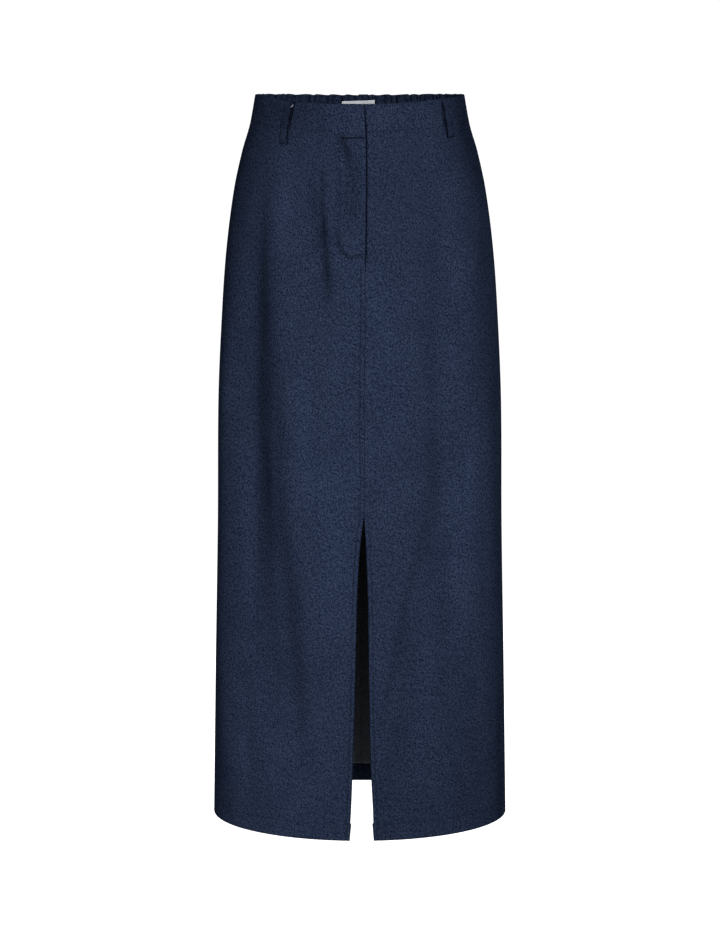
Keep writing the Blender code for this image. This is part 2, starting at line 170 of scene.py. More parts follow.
LOOPS = rows_of(
    "node angle top foot swing stand_off",
    ("belt_loop_front_right", -41.4, 1.5, 53.3, 3.5, 0),
    ("belt_loop_front_left", 52.1, 1.0, 47.3, 0, 0),
    ("belt_loop_back_left", 131.0, 0, 50, 0, PANEL_GATHER_RISE),
    ("belt_loop_back_centre", 178.0, -0.4, 51, 0, PANEL_GATHER_RISE),
    ("belt_loop_back_right", -131.0, 0, 50, 0, PANEL_GATHER_RISE))
FRONT_LOOPS = LOOPS[:2]
LOOP_WIDTH = 12
LOOP_CLOTH = 2.0
LOOP_BOW = 2.2

LABEL_WIDTH = 43.8
LABEL_HEIGHT = 22
LABEL_CLOTH = 1.0
LABEL_DROP = 7.7
LABEL_CENTRE = -1.9
LABEL_LEAN = 2.2


# ------------ sizes of the sewing

SEAM = 0.3
STITCH = 2.3
STITCH_PITCH = 3.1
THREAD = 0.42
TOPSTITCH = 5.4
LOOP_STITCH = 3.6
HEM_STITCH = 22.0
BAND_STITCH = 2.2
HEM_RUN_STARTS = 1.5 / 190
SEAM_ROLL = 0.7
BAND_SEAM_ROLL = 0.22
BAND_END_ROLL = 0.8
FOLD_ROLL = (CLOTH + FACING) / 2
FOLD_STEP = 0.8
SEAM_CLOSES = 0.26
SEAM_MEETS = 0.04
CLOSED_SEAM = 0.62
THIN_EDGE = 0.05
PANEL_EDGE = 0.08
LIE_ON = 0.08

# The right waistband is deeper over the fly's facing, which the panel's top follows
FLY_DROOP = 4.9
DROOP_FROM = 49
DROOP_RAMP = 17
DROOP_FADE = 70

# Grooves and ridges: a half width, and a depth that is negative on a ridge
TOPSTITCH_GROOVE = (0.8, 0.30)
FLY_GROOVE = (0.8, 0.40)
HEM_GROOVE = (0.7, 0.18)
LOOP_GROOVE = (0.6, 0.22)
LAP_CREST = (1.2, -0.35)
BAND_LAP_CREST = (1.2, -0.30)
LAP_CREST_FROM = 1.2
LAP_GROOVE = 1.9
SEAM_RIDGE = 0.45

# Painted shade and highlights along stitches, seams, edges and gaps: a half width and a share of
# darkness, negative where the cloth is painted paler
TOPSTITCH_MARK = (1.0, 0.33)
HEM_MARK = (1.0, 0.12)
HEM_FOOT_MARK = (1.3, 0.6)
BAND_MARK = (1.0, 0.18)
SEAM_MARK = (0.9, 0.32)
LAP_SEAM_MARK = (1.5, 0.8)
LAP_MARK = (1.1, -0.30)
BAND_LAP_MARK = (1.1, -0.22)
PALE_FROM = 1.4
JOINED_SHADE = 0.12
SLIT_SHADE = 0.36
SLIT_FOOT_SHADE = 0.32
FLY_LINE_SHADE = 0.12
FLY_CURVE_SHADE = 0.38
LAP_SHADOW = 0.88
LOOP_FOOT_MARK = (1.4, 0.85)
LOOP_STITCH_MARK = (0.8, 0.18)
LOOP_SIDE_MARK = (1.1, 0.6)
LOOP_CREST_MARK = (1.4, -0.3)
LOOP_SHADOW = (0.9, 0.76)
LOOP_GAP_SHADE = 0.85
LOOP_INSIDE_SHADE = 0.8
TURNED_UP_MARK = (1.1, -0.5)
TURNED_UP_SHADE = -0.35


# ------------ tables and curves


def along(table, at):
    """Columns of a table, after its first, at any places, on smooth curves through the rows."""
    rows = np.array(table)
    where = rows[:, 0]
    at = np.clip(at, where[0], where[-1])
    k = np.clip(np.searchsorted(where, at, side="right") - 1, 0, len(where) - 2)
    before, after = np.maximum(k - 1, 0), np.minimum(k + 2, len(where) - 1)
    span = where[k + 1] - where[k]
    t = (at - where[k]) / span
    columns = []
    for value in rows.T[1:]:
        slope_in = (value[k + 1] - value[before]) / (where[k + 1] - where[before]) * span
        slope_out = (value[after] - value[k]) / (where[after] - where[k]) * span
        columns.append((2 * t**3 - 3 * t**2 + 1) * value[k] + (t**3 - 2 * t**2 + t) * slope_in
                       + (3 * t**2 - 2 * t**3) * value[k + 1] + (t**3 - t**2) * slope_out)
    return columns


def straight(table, at, column):
    """One column of a table at any places, on straight lines."""
    return np.interp(at, [row[0] for row in table], [getattr(row, column) for row in table])


def ease(t):
    """0 to 1, with a soft start and end."""
    t = np.clip(t, 0, 1)
    return t * t * (3 - 2 * t)


def crease(distance, width, depth):
    """A soft line: its depth at no distance, and little of it two widths away."""
    return depth * np.exp(-(distance / width)**2)


def soft_edge(distance, radius):
    """How far a rounded edge falls away at a distance from it."""
    gap = np.clip(radius - distance, 0, radius)
    return radius - np.sqrt(np.maximum(radius**2 - gap**2, 0))


def most(*values):
    """The greatest of several values at each place."""
    return functools.reduce(np.maximum, values)


def unit(vectors):
    return vectors / np.linalg.norm(vectors, axis=-1, keepdims=True)


def spread(size, steps, count):
    """Places from 0 to a size: at the steps from both ends, and even between."""
    steps = np.array(steps)
    middle = np.linspace(steps[-1], size - steps[-1], count)
    return np.concatenate([steps[:-1], middle, size - steps[-2::-1]])


# ------------ the skirt's surface


def oval(angle, drop):
    """The body's half width at a drop, and its reach to the front or the back."""
    half_width, front, back = along(SECTIONS, drop)
    return half_width, np.where(np.cos(angle) > 0, front, back)


def arc_rate(angle, drop):
    """Millimetres round the body for each radian."""
    half_width, reach = oval(angle, drop)
    return np.hypot(half_width * np.cos(angle), reach * np.sin(angle))


def fold_depth(angle, drop, folds):
    depth = np.zeros(np.broadcast(angle, drop).shape)
    rate = arc_rate(angle, drop)
    for fold in folds:
        down = (drop - fold.top) / (fold.foot - fold.top)
        middle = np.radians(fold.top_angle + (fold.foot_angle - fold.top_angle) * down)
        across = (angle - middle + math.pi) % (2 * math.pi) - math.pi
        across = across * rate / fold.half_width
        depth += fold.depth * np.exp(-across**2) * ease(3 * down) * ease(3 * (1 - down))
    return depth


def skin(angle, drop, depth=0.0):
    """Points at angles round the body and drops below the waist, `depth` inside the outer face."""
    angle, drop, depth = np.broadcast_arrays(angle, drop, depth)
    half_width, reach = oval(angle, drop)
    ahead = np.cos(angle)
    dip = np.where(ahead > 0, FRONT_DIP, BACK_DIP) * ahead**2 * ease(1 - drop / DIP_REACH)
    out = unit(np.stack([np.sin(angle) / half_width, -ahead / reach], -1))
    inward = depth + fold_depth(angle, drop, FOLDS + FINE_FOLDS)
    x = half_width * np.sin(angle) - out[..., 0] * inward
    y = -reach * ahead - out[..., 1] * inward
    return np.stack([x, y, -drop - dip], -1)


def angle_of(x, drop):
    return np.arcsin(x / along(SECTIONS, drop)[0])


def centre_edge(side, drop):
    """Angle of a front piece's edge in the middle."""
    return angle_of(straight(CENTRE_EDGES, drop, SIDES[side]), drop)


def side_seam(side, drop):
    """Angle at which a front piece meets the back."""
    return side * (math.pi / 2 + SEAM_MEETS / arc_rate(math.pi / 2, drop))


def from_ends(angle, rate):
    """Distances from a piece's first and last columns."""
    return [np.abs(angle - end) * rate for end in (angle[:, :1], angle[:, -1:])]


def lap_rise(from_edge):
    return LAP_RISE * ease((LAP_WIDTH - from_edge) / RAMP)


def lap_groove(distance, flat, width):
    """The hollow beside the lap's edge, at its deepest as far as `flat`."""
    return LAP_GROOVE * np.exp(-np.clip(distance - flat, 0, None)**2 / width**2)


def underlap_depth(past_lap):
    """How deep the left waistband runs behind the right one, past the lap's end."""
    return (FLAT_BAND + LAP_GAP - LAP_RISE) * ease(1 - (past_lap - SEAM) / UNDERLAP_RAMP)


def fly_droop(side, from_edge):
    return FLY_DROOP * ease((DROOP_FROM - from_edge) / DROOP_RAMP) * (side < 0)


def droop_fade(drop):
    return ease(1 - (drop - PANEL_TOP) / DROOP_FADE)


def gather_angle(side, count, drop):
    """Angle of a count of gathers from the side seam, unevenly spaced but for the ends."""
    half_width, _, back = along(SECTIONS, drop)
    centre = math.pi - side * np.arcsin(CENTRE_BACK / half_width)
    first = math.pi / 2 + SEAM / 2 / back
    last = centre - SEAM / 2 / half_width
    ends = ease(count / 2) * ease((GATHERS_A_SIDE - count) / 2)
    uneven = 0.42 * np.sin(0.83 * count + side) + 0.30 * np.sin(2.1 * count + 2 * side)
    return side * (first + (last - first) * (count + uneven * ends) / GATHERS_A_SIDE)


def gather_wave(count):
    """1 on the gathers' crests and -1 in the sharper valleys between them."""
    return 2 * np.abs(np.cos(math.pi * count))**GATHER_SHARPNESS - 1


def gather(side, count):
    ends = ease(count / 3) * ease(GATHERS_A_SIDE - count)
    strength = 0.85 + 0.15 * np.sin(1.7 * count + 3 * side)
    return gather_wave(count) * strength * ends


def gather_painted_shade(side, count):
    """Painted shade in the valleys between gathers, unevenly, and a painted highlight, a little paler, on
    their crests.
    """
    deep = 0.62 + 0.38 * np.sin(2.3 * np.round(count - 0.5) + 5 * side)
    height = gather_wave(count)
    return (crease(height + 1, 0.6, deep) - 0.18 * np.clip(height, 0, 1)) * ease(count / 2)


def flute(side, count, drop):
    """The wider waves that the gathers let down into the panel."""
    down = (drop - FLUTE_TOP) / (FLUTE_FOOT - FLUTE_TOP)
    turn = 2 * math.pi * count / GATHERS_A_FLUTE + 1.1 * np.sin(0.37 * count + side)
    ends = ease(count / 3) * ease((GATHERS_A_SIDE - count) / 2)
    return FLUTE_RISE * np.cos(turn) * ends * ease(5 * down) * ease(1.2 * (1 - down))


# ------------ materials

CLOTH_MAP = "Cloth"
# The mesh value that paints shade into the denim's colour, and a highlight where it is negative
PAINTED_SHADE_VALUE = "PaintedShade"
TWILL_PITCH = 0.9 * MM
TWILL_SLANT = -28
MOTTLE_SHARE = 0.18
DENIM_ROUGHNESS = 0.86
CLOUD_DARK = (0.84, 0.85, 0.88)
CLOUD_PALE = (1.16, 1.15, 1.12)

# Noise for the yarn, mottle, slubs and clouds: how far it is drawn out, its slant in degrees,
# its scale, detail and roughness
GRAINS = [(1.45, -20, 560, 2.0, 0.8), (1.7, -10, 260, 1.0, 0.5), (3.0, -8, 520, 2.0, 0.5),
          (1.5, -4, 26, 5.0, 0.78)]

# A mix node has a pair of inputs for each kind of data, and these are the colours' own
MIX_FIRST, MIX_SECOND, MIX_RESULT = 6, 7, 2


def principled(name):
    material = bpy.data.materials.new(name)
    material.use_nodes = True
    tree = material.node_tree
    return material, tree, tree.nodes["Principled BSDF"]


def fill(tree, made, inputs):
    """Set a node's inputs to values or colours, or link them where they are given an output."""
    for name, value in inputs.items():
        target = made.inputs[name]
        if isinstance(value, bpy.types.NodeSocket):
            tree.links.new(value, target)
        else:
            target.default_value = (*value, 1) if target.type == "RGBA" else value


def node(tree, kind, output, inputs=None, **settings):
    """One output of a new node."""
    made = tree.nodes.new("ShaderNode" + kind)
    for name, value in settings.items():
        setattr(made, name, value)
    fill(tree, made, inputs or {})
    return made.outputs[output]


def calculate(tree, operation, *values):
    return node(tree, "Math", "Value", dict(enumerate(values)), operation=operation)


def mix_colours(tree, factor, first, second, blend="MIX"):
    return node(tree, "Mix", MIX_RESULT, {0: factor, MIX_FIRST: first, MIX_SECOND: second},
                data_type="RGBA", blend_type=blend)


def ramp(tree, source, low, high):
    """The source stretched so that low becomes 0 and high becomes 1."""
    return node(tree, "MapRange", "Result", {"From Min": low, "From Max": high, "Value": source})


def noise(tree, vector, scale, detail=2.0, roughness=0.5):
    return node(tree, "TexNoise", "Fac",
                {"Scale": scale, "Detail": detail, "Roughness": roughness, "Vector": vector})


def slanted(tree, vector, stretch, turn):
    """The map turned by some degrees, and drawn out along its turned upright."""
    return node(tree, "Mapping", "Vector",
                {"Scale": (1, stretch, 1), "Rotation": (0, 0, math.radians(turn)), "Vector": vector},
                vector_type="TEXTURE")


def bump(tree, height, strength, distance):
    return node(tree, "Bump", "Normal",
                {"Strength": strength, "Distance": distance * MM, "Height": height})


def denim(name, dark, light, fleck):
    """Twill on the cloth's own map, in metres: slanting yarn flecks, slubs up the warp, diagonal
    lines. Shade is painted into its colour where the mesh's painted shade value is above 0, and a
    highlight is painted where it is below."""
    material, tree, shader = principled(name)
    cloth_map = node(tree, "UVMap", "UV", uv_map=CLOTH_MAP)
    yarn, mottle, slub, cloud = [noise(tree, slanted(tree, cloth_map, stretch, slant), *settings)
                                 for stretch, slant, *settings in GRAINS]
    twill = node(tree, "TexWave", "Fac",
                 {"Scale": 1 / (math.pi * TWILL_PITCH), "Distortion": 1.5, "Detail": 1.0,
                  "Vector": slanted(tree, cloth_map, 1, TWILL_SLANT)},
                 wave_type="BANDS", bands_direction="X")
    mottled = calculate(tree, "MULTIPLY_ADD", mottle, MOTTLE_SHARE, yarn)
    middle = (1 + MOTTLE_SHARE) / 2
    tone = mix_colours(tree, ramp(tree, mottled, middle - 0.12, middle + 0.15), dark, light)
    tone = mix_colours(tree, ramp(tree, slub, 0.60, 0.95), tone, fleck)
    shade = mix_colours(tree, ramp(tree, cloud, 0.30, 0.70), CLOUD_DARK, CLOUD_PALE)
    wear_and_painted_shade = mix_colours(tree, 1.0, tone, shade, "MULTIPLY")
    # Painted shade: the colour is darkened by the mesh's painted shade value, and made paler where it is
    # negative
    marks = node(tree, "Attribute", "Fac", attribute_name=PAINTED_SHADE_VALUE)
    keep = calculate(tree, "MULTIPLY_ADD", marks, -1.0, 1.0)
    tone_with_painted_shade = node(tree, "VectorMath", "Vector", {0: wear_and_painted_shade, "Scale": keep}, operation="SCALE")
    height = calculate(tree, "ADD", twill, yarn)
    fill(tree, shader, {"Base Color": tone_with_painted_shade, "Normal": bump(tree, height, 0.55, 0.25),
                        "Roughness": DENIM_ROUGHNESS, "Specular IOR Level": 0.0})
    return material


def woven(name, dark, light, scale, roughness, specular=0.3):
    """A plain weave or a thread: fine noise in colour and bump, on object coordinates."""
    material, tree, shader = principled(name)
    grain = noise(tree, node(tree, "TexCoord", "Object"), scale, 3.0)
    fill(tree, shader, {"Base Color": mix_colours(tree, ramp(tree, grain, 0.3, 0.7), dark, light),
                        "Normal": bump(tree, grain, 0.4, 0.15),
                        "Roughness": roughness, "Specular IOR Level": specular})
    return material


def metal(name, colour, roughness):
    material, tree, shader = principled(name)
    marks = noise(tree, node(tree, "TexCoord", "Object"), 900)
    dull = tuple(c * 0.8 for c in colour)
    fill(tree, shader, {"Base Color": mix_colours(tree, marks, dull, colour),
                        "Metallic": 1.0, "Roughness": roughness})
    return material


FACE = denim("denim_face", (0.0025, 0.0045, 0.0135), (0.0182, 0.0257, 0.0466), (0.0272, 0.0348, 0.0584))
WRONG = denim("denim_wrong_side", (0.0750, 0.0830, 0.0980), (0.1450, 0.1560, 0.1770),
              (0.1640, 0.1750, 0.1980))
THREAD_NAVY = woven("thread_navy", (0.0040, 0.0065, 0.0160), (0.0085, 0.0125, 0.0250), 2500, 0.7, 0.03)
# Near-black discs that paint the shade in the needle holes
NEEDLE_HOLE = woven("needle_hole", (0.0008, 0.0012, 0.0024), (0.0014, 0.0020, 0.0036), 2500, 0.9, 0.0)
THREAD_PALE = woven("thread_pale", (0.45, 0.45, 0.50), (0.65, 0.65, 0.70), 2500, 0.6)
THREAD_LOOSE = woven("thread_loose", (0.22, 0.22, 0.26), (0.32, 0.32, 0.37), 2500, 0.6)
LABEL = woven("label_tape", (0.86, 0.88, 0.95), (0.93, 0.95, 1.00), 1500, 0.55)
ZIP_CLOTH = woven("zip_cloth", (0.008, 0.011, 0.024), (0.016, 0.021, 0.042), 1600, 0.7)
STEEL = metal("pressed_steel", (0.58, 0.58, 0.60), 0.34)


# ------------ meshes


def add_mesh(name, points, faces, materials, material_index=None, uv=None, smooth=True):
    data = bpy.data.meshes.new(name)
    data.from_pydata((points.reshape(-1, 3) * MM).tolist(), [], faces)
    for material in materials:
        data.materials.append(material)
    if material_index is not None:
        data.polygons.foreach_set("material_index", np.asarray(material_index, dtype=np.int32))
    if uv is not None:
        layer = data.uv_layers.new(name=CLOTH_MAP)
        corners = np.empty(len(data.loops), dtype=np.int32)
        data.loops.foreach_get("vertex_index", corners)
        layer.uv.foreach_set("vector", (uv.reshape(-1, 2)[corners] * MM).astype(np.float32).ravel())
    if smooth:
        data.shade_smooth()
    return place(name, data)


def place(name, data):
    made = bpy.data.objects.new(name, data)
    bpy.context.scene.collection.objects.link(made)
    return made


def shell(name, angle, drop, depth, thick, face_inside=None, wrong=WRONG, painted_shades=(0, 0)):
    """A closed shell of cloth: rows down, columns across. Inside it is the wrong side, or the
    face where the cloth is turned in. The last argument gives the painted shade of its outer and
    inner face: a share of darkness, negative where a highlight is painted."""
    rows, columns = angle.shape
    outer = skin(angle, drop, depth)
    inner = skin(angle, drop, depth + thick)
    across = np.linalg.norm(np.diff(outer, axis=1), axis=-1)
    u = np.concatenate([np.zeros((rows, 1)), np.cumsum(across, axis=1)], axis=1)
    turn = np.sign(angle[0, -1] - angle[0, 0])
    u = u[rows // 2] * turn
    uv = np.stack([np.broadcast_to(u, drop.shape), -drop], -1)
    points = np.concatenate([outer.reshape(-1, 3), inner.reshape(-1, 3)])
    index = np.arange(rows * columns).reshape(rows, columns)
    corners = [index[:-1, :-1], index[:-1, 1:], index[1:, 1:], index[1:, :-1]]
    front = np.stack(corners, -1).reshape(-1, 4)
    back = front[:, ::-1] + rows * columns
    rim = np.concatenate([index[0, :], index[1:, -1], index[-1, -2::-1], index[-2:0:-1, 0]])
    following = np.roll(rim, -1)
    edge = np.stack([following, rim, rim + rows * columns, following + rows * columns], -1)
    faces = np.concatenate([front, back, edge])
    if turn > 0:
        faces = faces[:, ::-1]
    inside = np.ones(len(back), dtype=int)
    if face_inside is not None:
        inside = 1 - (face_inside[:-1, :-1] & face_inside[1:, 1:]).astype(int).ravel()
    kinds = np.concatenate([np.zeros(len(front), int), inside, np.zeros(len(edge), int)])
    both = np.concatenate([uv.reshape(-1, 2)] * 2)
    made = add_mesh(name, points, faces.tolist(), [FACE, wrong], kinds, both)
    marks = np.concatenate([np.broadcast_to(mark, angle.shape).ravel() for mark in painted_shades])
    layer = made.data.attributes.new(PAINTED_SHADE_VALUE, "FLOAT", "POINT")
    layer.data.foreach_set("value", marks.astype(np.float32))
    return made


def round_steps(count):
    """Even steps once round a circle, in radians, one below the other."""
    return np.linspace(0, 2 * math.pi, count, endpoint=False)[:, None]


# A stitch's outline: places along it, and how fat it is there
STITCH_PROFILE = [(-0.50, 0.15), (-0.38, 0.75), (0.0, 1.0), (0.38, 0.75), (0.50, 0.15)]
STITCH_SINKS = 0.35
STITCH_SIDES = 6


def stitches(name, runs, thread=THREAD_NAVY, length=STITCH, width=THREAD):
    """One mesh of sewn stitches. Each run is (middles, directions, outward normals)."""
    sides, turn = STITCH_SIDES, round_steps(STITCH_SIDES)
    last = sides * (len(STITCH_PROFILE) - 1)
    pattern = [(k + s, k + n, k + n + sides, k + s + sides)
               for k in range(0, last, sides) for s, n in zip(range(sides), [*range(1, sides), 0])]
    pattern += [range(sides)[::-1], range(last, last + sides)]
    points, faces = [], []
    for middles, directions, normals in runs:
        directions = unit(directions)
        sideways = unit(np.cross(normals, directions))
        normals = np.cross(directions, sideways)
        for m, d, w, n in zip(middles, directions, sideways, normals):
            first = len(points) * sides
            for at, fat in STITCH_PROFILE:
                dip = STITCH_SINKS * width * (1 - fat)
                offsets = (np.cos(turn) * w + np.sin(turn) * n) * width / 2 * fat
                points.append(m + d * length * at - n * dip + offsets)
            faces += [[first + i for i in face] for face in pattern]
    return add_mesh(name, np.concatenate(points), faces, [thread])


HOLE_SIDES = 8
HOLE_NARROWS = 0.7
HOLE_LIFT = 0.10


def needle_holes(name, runs, width):
    """Painted shade of the needle holes between the stitches of each run: small flat dark discs on the
    cloth.
    """
    turn = round_steps(HOLE_SIDES)
    points = []
    for middles, directions, normals in runs:
        directions = unit(directions)
        sideways = np.cross(normals, directions)
        for m, d, w, n in zip(middles, directions, sideways, normals):
            points.append(m + d * STITCH_PITCH / 2 + n * HOLE_LIFT
                          + (np.cos(turn) * d * HOLE_NARROWS + np.sin(turn) * w) * width / 2)
    faces = np.arange(HOLE_SIDES * len(points)).reshape(-1, HOLE_SIDES)[:, ::-1].tolist()
    return add_mesh(name, np.concatenate(points), faces, [NEEDLE_HOLE])


def run_along(angle, drop, depth, pitch=STITCH_PITCH):
    """Middles, directions and normals of stitches spaced evenly along a path on the skirt."""
    path = skin(angle, drop, depth)
    length = np.concatenate([[0], np.cumsum(np.linalg.norm(np.diff(path, axis=0), axis=1))])
    at = np.arange(pitch / 2, length[-1], pitch)

    def sample(values, shift=0.0):
        return np.interp(at + shift, length, values)

    def trace(shift=0.0):
        return np.stack([sample(line, shift) for line in path.T], -1)

    here = sample(angle), sample(drop)
    below = sample(np.broadcast_to(depth, angle.shape))
    outward = skin(*here, below - 1) - skin(*here, below)
    return trace(), trace(0.2) - trace(-0.2), unit(outward)


def settle(piece, slot, *nodes):
    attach(piece, BODY)
    if nodes:
        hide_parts(*nodes)
    return piece


# ------------ front panels

TOP_ROWS = PANEL_TOP - SEAM_CLOSES + np.array([0, 0.12, 0.35, 0.8, 1.6, 3.0])
HEM_FOLD_ROWS = LENGTH - np.array([24.3, 23.9, 23.2, 22.8, 22.4, 22.0, 21.6, 21.2, 20.4])


def panel_rows(middle, foot):
    """Drops of a panel's rows: close together at its top, at the hem's stitches and at its foot."""
    evenly = [np.arange(*part) for part in middle]
    return np.concatenate([TOP_ROWS, *evenly, HEM_FOLD_ROWS, LENGTH - np.array(foot)])


FRONT_FINE = np.concatenate([[0, 0.25, 0.6, 1.0, 1.6, 2.4], np.arange(3.2, 36.5, 1.05)])
FRONT_COARSE = 58
FRONT_LAST = [0.9945, 0.9975, 1.0]
FRONT_ROWS = panel_rows([(41.5, 165, 3.0), (166, 206, 1.3), (208, 915, 4.2)],
                        [17, 13, 9, 6, 4, 2.6, 1.7, 1.0, 0.5, 0.15, 0])

# The fly's stitch line: distances from the lap's edge and drops
J_LINE = [(35.5, 38), (35.2, 150), (35.0, 168), (33.8, 176), (31.6, 182), (28.4, 187), (24.4, 190.6),
          (20.0, 192.8), (16.5, 193.2), (12.0, 192.6), (6.5, 191.2), (1.0, 190.4)]
J_INSETS = (0, 3.0)


def j_path(inset):
    """The fly's stitch line as distance from the lap edge and drop, moved towards the edge."""
    points = np.array(J_LINE)
    step = unit(np.gradient(points, axis=0))
    points = points + np.stack([-step[:, 1], step[:, 0]], -1) * inset
    fine = np.linspace(0, len(points) - 1, 160)
    return np.stack([np.interp(fine, np.arange(len(points)), points[:, k]) for k in range(2)], -1)


def distance_to(path, x, y):
    near = np.full(x.shape, 1000.0)
    for (x0, y0), (x1, y1) in zip(path[:-1], path[1:]):
        length = (x1 - x0)**2 + (y1 - y0)**2
        t = np.clip(((x - x0) * (x1 - x0) + (y - y0) * (y1 - y0)) / length, 0, 1)
        near = np.minimum(near, np.hypot(x - x0 - t * (x1 - x0), y - y0 - t * (y1 - y0)))
    return near


def fly_lines(from_edge, drop):
    """Distance to the nearer of the fly's two stitch lines."""
    return np.minimum(*(distance_to(j_path(inset), from_edge, drop) for inset in J_INSETS))


def seam_closed(drop):
    """1 where the two fronts are sewn together, from the fly down to the slit, and 0 elsewhere."""
    return ease((drop - FLY_END - 2) / 6) * ease((SLIT_TOP - drop) / 8)


def stitched_hem(drop, width, depth):
    """A groove or a mark along the hem's stitches."""
    return crease(drop - (LENGTH - HEM_STITCH), width, depth)


def panel_insets(drop, seams):
    """Rounding at a panel's seams, its top and its hem fold."""
    return most(soft_edge(drop - PANEL_TOP + SEAM_CLOSES, BAND_SEAM_ROLL),
                soft_edge(LENGTH - drop, FOLD_ROLL),
                *(soft_edge(distance, SEAM_ROLL) for distance in seams))


def doubled(past_fold):
    """0 in single cloth and 1 where the cloth is doubled, past a fold's inner edge."""
    return ease(past_fold / FOLD_STEP + 0.5)


def front_grid(side):
    """Angles, drops and distances from the centre edge and the side seam of a front panel's points."""
    drop = FRONT_ROWS[:, None]
    edge = centre_edge(side, drop)
    rate = arc_rate(edge, drop)
    edge = edge - side * SEAM_CLOSES / 2 * seam_closed(drop) / rate
    seam = side_seam(side, drop)
    near = edge + side * FRONT_FINE[None, :] / rate
    share = np.concatenate([np.linspace(0, 1, FRONT_COARSE)[1:-1], FRONT_LAST])
    angle = np.concatenate([near, near[:, -1:] + (seam - near[:, -1:]) * share], axis=1)
    drop = np.broadcast_to(drop, angle.shape)
    return angle, drop, np.abs(angle - edge) * rate, np.abs(seam - angle) * arc_rate(seam, drop)


def front_depth(side, drop, from_edge):
    """Depth of the outer face: the fly's lap and tuck, the seam's ridge and the stitched grooves."""
    fly = ease((FLY_END - drop) / RAMP)
    groove = crease(from_edge - TOPSTITCH, *TOPSTITCH_GROOVE)
    hem = stitched_hem(drop, *HEM_GROOVE)
    if side > 0:
        tuck = straight(CENTRE_EDGES, drop, "tuck") * ease(1 - from_edge / TUCK_WIDTH)
        beside = lap_groove(from_edge, 3.3, 1.0) * ease((FLY_END - 4 - drop) / 8)
        return tuck + beside + np.where(drop > SLIT_TOP, groove, 0) + hem
    lap = (crease(from_edge - LAP_CREST_FROM, *LAP_CREST) - lap_rise(from_edge)) * fly
    lines = crease(fly_lines(from_edge, drop), *FLY_GROOVE)
    ridge = SEAM_RIDGE * ease((TOPSTITCH - from_edge) / 1.5) * (1 - fly)
    ridge = ridge * ease((SLIT_TOP - drop) / 20 + 1)
    return lap + lines - ridge + np.where(drop > FLY_END + 4, groove, 0) + hem


def front_painted_shade(side, drop, from_edge):
    """Painted shade in the stitched lines, the seams, the slit's edges, the hem's foot and beside the
    fly's lap, and a painted highlight along the lap's edge.
    """
    fly = ease((FLY_END - drop) / RAMP)
    hem = most(stitched_hem(drop, *HEM_MARK), crease(LENGTH - drop, *HEM_FOOT_MARK))
    sewn = crease(from_edge - TOPSTITCH, *TOPSTITCH_MARK) * (drop > FLY_END + 4)
    turned = SLIT_SHADE + SLIT_FOOT_SHADE * ease((drop - 700) / 90)
    sewn = most(sewn, crease(from_edge, 1.0, turned) * (drop > SLIT_TOP))
    joined = JOINED_SHADE * ease((1.2 - from_edge) / 0.8) * (1 - fly) * (drop < SLIT_TOP)
    if side > 0:
        shadow = LAP_SHADOW * ease((5.2 - from_edge) / 1.7) * fly
        return most(shadow, joined, hem, sewn * (drop > SLIT_TOP))
    edge = crease(from_edge - PALE_FROM, *LAP_MARK) * fly + joined
    seam = crease(drop - PANEL_TOP, *LAP_SEAM_MARK) * ease((32 - from_edge) / 6)
    line_shade = FLY_LINE_SHADE + FLY_CURVE_SHADE * ease((drop - 150) / 30)
    lines = crease(fly_lines(from_edge, drop), 1.2, line_shade)
    return edge + most(lines, seam, hem, sewn)


def front_panel(side):
    angle, drop, from_edge, from_seam = front_grid(side)
    depth = front_depth(side, drop, from_edge)
    folded = (from_edge < FACING_WIDTH) | (drop > LENGTH - HEM)
    thick = CLOTH + FACING * most(doubled(FACING_WIDTH - from_edge), doubled(drop - LENGTH + HEM))
    roll = FOLD_ROLL * (1 - CLOSED_SEAM * seam_closed(drop))
    inset = most(panel_insets(drop, [from_seam]), soft_edge(from_edge, roll))
    inset = np.minimum(inset, thick / 2 - PANEL_EDGE)
    # Painted shade along the stitches, edges and side seam and in the folds' hollows, with painted
    # highlights on the lap's edge and some ridges
    wear_and_painted_shade = most(front_painted_shade(side, drop, from_edge), crease(from_seam, *SEAM_MARK))
    wear_and_painted_shade = wear_and_painted_shade + fold_depth(angle, drop, PAINTED_FOLD_SHADE)
    drop = drop + fly_droop(side, from_edge) * droop_fade(drop)
    return shell(f"front_{SIDES[side]}_cloth", angle, drop, depth + inset, thick - 2 * inset, folded,
                 painted_shades=(wear_and_painted_shade, 0))


# ------------ back panels

GATHER_STEPS = 6
BACK_COUNTS = np.concatenate([[0, 0.02, 0.06, 0.12],
                              np.arange(1, GATHERS_A_SIDE * GATHER_STEPS) / GATHER_STEPS,
                              [25.94, 25.975, GATHERS_A_SIDE]])
BACK_ROWS = panel_rows([(41, 122, 2.6), (124, 915, 5.6)], [16, 11, 7, 4, 2.4, 1.4, 0.8, 0.3, 0])
FACE_ABOVE_HEM = 0.9


def closing(count):
    """1 in the half gather beside a seam, and 0 from there on."""
    return ease(1 - count / 0.5)


def back_depth(side, count, drop):
    fade = GATHER_FADE * (1.0 + 0.4 * np.sin(2.9 * np.round(count) + side))
    rise = PANEL_GATHER_RISE + 0.9 * ease((drop - LOOPS[-1].foot) / 18)
    rise = rise * ease(1 - (drop - BAND_HEIGHT) / fade)
    return -rise * gather(side, count) - flute(side, count, drop) + stitched_hem(drop, *HEM_GROOVE)


